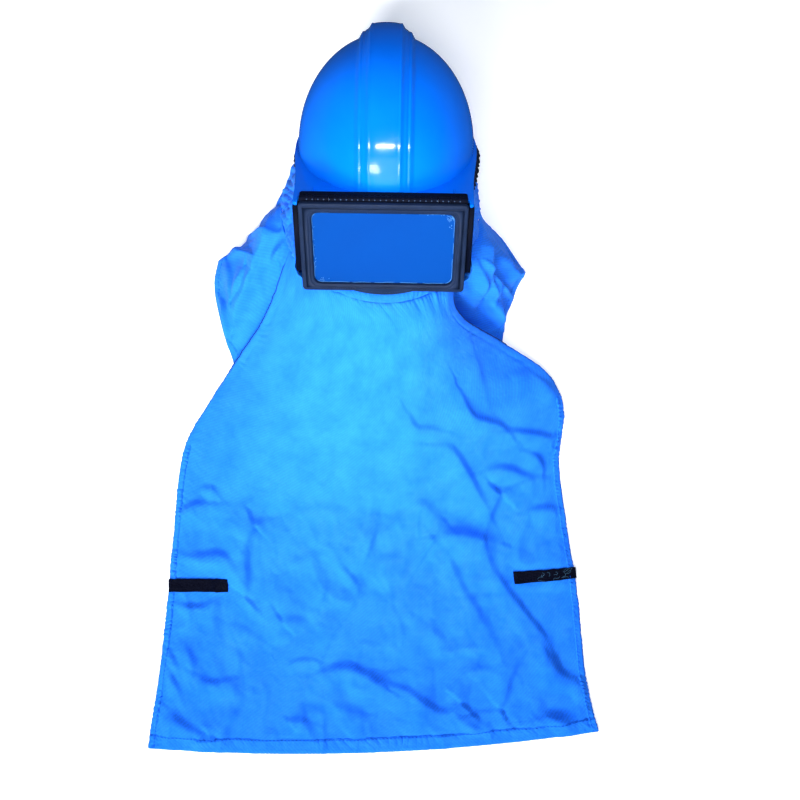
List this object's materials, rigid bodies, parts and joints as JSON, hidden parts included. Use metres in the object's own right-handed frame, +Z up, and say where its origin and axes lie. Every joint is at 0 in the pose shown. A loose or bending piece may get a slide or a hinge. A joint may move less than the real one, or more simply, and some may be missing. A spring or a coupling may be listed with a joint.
{
  "type": "sandblasting hood",
  "caption": "Hard shell helmet with a hinged rectangular window in a black frame, over a long gathered cloth cape with shoulder pieces and side tapes, lying on its back.",
  "frame": {"origin": "on the underside of the back panel, under the chest, on the mid plane of the helmet", "axes": "+X across the hood, +Y from the hem to the crown, +Z up from the surface that the hood lies on, towards the window"},
  "size_m": [0.628, 0.9656, 0.258],
  "materials": {
    "shell": "glossy moulded blue",
    "cloth": "blue cotton twill",
    "frame": "black moulded rubber, satin",
    "pane": "flat blue protective film",
    "trim": "black woven tape",
    "pin": "bare steel wire"
  },
  "bodies": {
    "root": {"helmet_shell": "shell", "visor_base": "frame", "hinge_band": "frame", "hinge_pin": "pin", "rim_binding": "trim", "neck_collar": "cloth", "front_panel": "cloth", "shoulder_left": "cloth", "shoulder_right": "cloth", "back_panel": "cloth", "tape_left": "trim", "tape_right": "trim"},
    "window": {"window_frame": "frame", "window_pane": "pane"}
  },
  "joints": [
    {"name": "window_hinge", "type": "hinge", "parent": "root", "child": "window", "pos_m": [-0.00149, 0.22911, 0.23688], "axis": [-0.9999, 0.0157, 0], "range_deg": [0, 110]}
  ]
}
